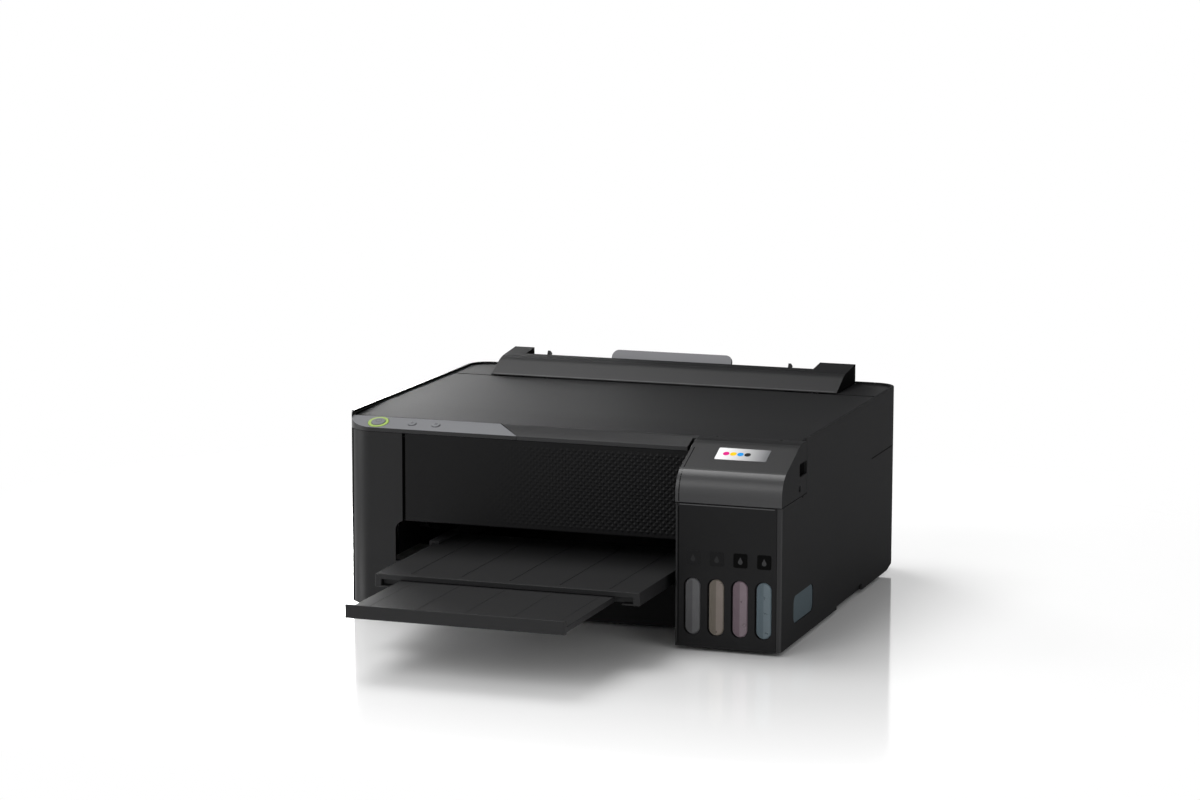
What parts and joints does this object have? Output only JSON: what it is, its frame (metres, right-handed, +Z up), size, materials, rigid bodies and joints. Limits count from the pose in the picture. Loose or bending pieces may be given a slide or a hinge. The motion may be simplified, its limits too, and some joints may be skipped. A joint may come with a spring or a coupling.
{
  "type": "inkjet printer",
  "caption": "Desktop inkjet printer with a front ink tank unit, a pull-out output tray, hinged top and tank covers and a rear sheet feeder.",
  "frame": {"origin": "under the middle of the printer with its tray pulled out, on the surface the feet stand on", "axes": "+X to the right seen from the front, +Y to the rear, +Z up"},
  "size_m": [0.375, 0.5156, 0.1715],
  "materials": {
    "case_plastic": "fine grained black",
    "cover_plastic": "fine grained black",
    "front_plastic": "black with a small diamond relief",
    "strip_plastic": "satin dark grey",
    "lit_plastic": "translucent yellow green",
    "button_plastic": "satin",
    "tank_gloss": "polished black",
    "black_tank_plastic": "translucent, black ink behind",
    "yellow_tank_plastic": "translucent, yellow ink behind",
    "magenta_tank_plastic": "translucent, magenta ink behind",
    "cyan_tank_plastic": "translucent, cyan ink behind",
    "inner_plastic": "black",
    "gear_plastic": "natural white",
    "frame_steel": "galvanised",
    "shaft_steel": "ground",
    "rubber": "matt",
    "film": "clear film",
    "felt": "white felt",
    "board": "green laminate"
  },
  "bodies": {
    "case": {"left_side_panel": "case_plastic", "right_side_panel": "case_plastic", "rear_panel": "case_plastic", "lower_case": "case_plastic", "top_frame": "case_plastic", "front_panel": "front_plastic", "control_panel": "strip_plastic", "power_ring": "lit_plastic", "tank_housing": "tank_gloss", "black_ink_tank": "black_tank_plastic", "yellow_ink_tank": "yellow_tank_plastic", "magenta_ink_tank": "magenta_tank_plastic", "cyan_ink_tank": "cyan_tank_plastic", "feed_frame": "inner_plastic", "main_frame": "frame_steel", "carriage_rod": "shaft_steel", "encoder_strip": "film", "timing_belt": "rubber", "drive_motors": "frame_steel", "ink_tubes": "rubber", "pinch_rollers": "inner_plastic", "platen": "inner_plastic", "star_wheels": "frame_steel", "cap_station": "inner_plastic", "waste_ink_pad": "felt", "main_board": "board", "power_supply": "inner_plastic", "power_inlet": "inner_plastic", "usb_socket": "frame_steel", "rubber_feet": "rubber", "case_screws": "shaft_steel"},
    "top_cover": {"top_cover": "cover_plastic"},
    "tank_cover": {"tank_cover": "cover_plastic"},
    "black_tank_cap": {"black_tank_cap": "inner_plastic"},
    "yellow_tank_cap": {"yellow_tank_cap": "inner_plastic"},
    "magenta_tank_cap": {"magenta_tank_cap": "inner_plastic"},
    "cyan_tank_cap": {"cyan_tank_cap": "inner_plastic"},
    "feeder_guard": {"feeder_guard": "case_plastic"},
    "paper_support": {"paper_support": "cover_plastic"},
    "left_edge_guide": {"left_edge_guide": "case_plastic"},
    "right_edge_guide": {"right_edge_guide": "case_plastic"},
    "hopper": {"hopper": "inner_plastic"},
    "pickup_roller": {"pickup_roller": "inner_plastic", "pickup_tyre": "rubber"},
    "output_tray": {"output_tray": "case_plastic"},
    "tray_extension": {"tray_extension": "case_plastic"},
    "power_button": {"power_button": "button_plastic"},
    "ink_button": {"ink_button": "button_plastic"},
    "paper_button": {"paper_button": "button_plastic"},
    "carriage": {"carriage": "inner_plastic", "print_head": "inner_plastic"},
    "drive_pulley": {"drive_pulley": "gear_plastic"},
    "idler_pulley": {"idler_pulley": "gear_plastic"},
    "feed_roller": {"feed_roller": "shaft_steel", "feed_gear": "gear_plastic"},
    "idler_gear": {"idler_gear": "gear_plastic"},
    "eject_roller": {"eject_roller": "shaft_steel", "eject_tyres": "rubber", "eject_gear": "gear_plastic"},
    "motor_pinion": {"motor_pinion": "gear_plastic"}
  },
  "joints": [
    {"name": "cover_hinge", "type": "hinge", "parent": "case", "child": "top_cover", "pos_m": [0, 0.19445, 0.15], "axis": [-1, 0, 0], "range_deg": [0, 55]},
    {"name": "tank_cover_hinge", "type": "hinge", "parent": "case", "child": "tank_cover", "pos_m": [0.146, -0.02475, 0.15], "axis": [-1, 0, 0], "range_deg": [0, 85]},
    {"name": "black_cap_hinge", "type": "hinge", "parent": "case", "child": "black_tank_cap", "pos_m": [0.1188, -0.04125, 0.1155], "axis": [-1, 0, 0], "range_deg": [0, 70]},
    {"name": "yellow_cap_hinge", "type": "hinge", "parent": "case", "child": "yellow_tank_cap", "pos_m": [0.1373, -0.04125, 0.1155], "axis": [-1, 0, 0], "range_deg": [0, 70]},
    {"name": "magenta_cap_hinge", "type": "hinge", "parent": "case", "child": "magenta_tank_cap", "pos_m": [0.1558, -0.04125, 0.1155], "axis": [-1, 0, 0], "range_deg": [0, 70]},
    {"name": "cyan_cap_hinge", "type": "hinge", "parent": "case", "child": "cyan_tank_cap", "pos_m": [0.1743, -0.04125, 0.1155], "axis": [-1, 0, 0], "range_deg": [0, 70]},
    {"name": "guard_hinge", "type": "hinge", "parent": "case", "child": "feeder_guard", "pos_m": [0, 0.20665, 0.151], "axis": [1, 0, 0], "range_deg": [0, 60]},
    {"name": "support_slide", "type": "slide", "parent": "case", "child": "paper_support", "axis": [0, 0.5, 0.866], "range_m": [0, 0.08]},
    {"name": "guide_slide", "type": "slide", "parent": "case", "child": "left_edge_guide", "axis": [1, 0, 0], "range_m": [0, 0.055]},
    {"name": "right_guide_slide", "type": "slide", "parent": "case", "child": "right_edge_guide", "axis": [1, 0, 0], "range_m": [-0.055, 0]},
    {"name": "hopper_hinge", "type": "hinge", "parent": "case", "child": "hopper", "pos_m": [-0.008, 0.21393, 0.11137], "axis": [-1, 0, 0], "range_deg": [0, 4]},
    {"name": "pickup_spin", "type": "hinge", "parent": "case", "child": "pickup_roller", "pos_m": [-0.008, 0.18309, 0.09685], "axis": [1, 0, 0], "continuous": true},
    {"name": "tray_slide", "type": "slide", "parent": "case", "child": "output_tray", "axis": [0, 1, 0], "range_m": [0, 0.112]},
    {"name": "extension_slide", "type": "slide", "parent": "output_tray", "child": "tray_extension", "axis": [0, 1, 0], "range_m": [0, 0.103]},
    {"name": "power_press", "type": "slide", "parent": "case", "child": "power_button", "axis": [0, 0.3067, -0.9518], "range_m": [0, 0.0008], "stiffness_N_per_m": 250},
    {"name": "ink_press", "type": "slide", "parent": "case", "child": "ink_button", "axis": [0, 0.3067, -0.9518], "range_m": [0, 0.0008], "stiffness_N_per_m": 250},
    {"name": "paper_press", "type": "slide", "parent": "case", "child": "paper_button", "axis": [0, 0.3067, -0.9518], "range_m": [0, 0.0008], "stiffness_N_per_m": 250},
    {"name": "carriage_slide", "type": "slide", "parent": "case", "child": "carriage", "axis": [-1, 0, 0], "range_m": [0, 0.235], "deforming": ["ink_tubes"]},
    {"name": "drive_pulley_spin", "type": "hinge", "parent": "case", "child": "drive_pulley", "pos_m": [0.15, 0.13425, 0.112], "axis": [0, 1, 0], "continuous": true},
    {"name": "idler_pulley_spin", "type": "hinge", "parent": "case", "child": "idler_pulley", "pos_m": [-0.16, 0.13425, 0.112], "axis": [0, 1, 0], "continuous": true},
    {"name": "feed_spin", "type": "hinge", "parent": "case", "child": "feed_roller", "pos_m": [0, 0.12425, 0.063], "axis": [1, 0, 0], "continuous": true},
    {"name": "idler_spin", "type": "hinge", "parent": "case", "child": "idler_gear", "pos_m": [-0.154, 0.08105, 0.063], "axis": [1, 0, 0], "continuous": true},
    {"name": "eject_spin", "type": "hinge", "parent": "case", "child": "eject_roller", "pos_m": [0, 0.04985, 0.063], "axis": [1, 0, 0], "continuous": true},
    {"name": "pinion_spin", "type": "hinge", "parent": "case", "child": "motor_pinion", "pos_m": [-0.154, 0.15023, 0.048], "axis": [1, 0, 0], "continuous": true}
  ],
  "couplings": [
    {"joint": "right_guide_slide", "follows": "guide_slide", "ratio": -1},
    {"joint": "drive_pulley_spin", "follows": "carriage_slide", "rad_per_m": 141.84},
    {"joint": "idler_pulley_spin", "follows": "carriage_slide", "rad_per_m": 141.84},
    {"joint": "idler_spin", "follows": "feed_spin", "ratio": -1.25},
    {"joint": "eject_spin", "follows": "feed_spin", "ratio": 2},
    {"joint": "pinion_spin", "follows": "feed_spin", "ratio": -4}
  ]
}
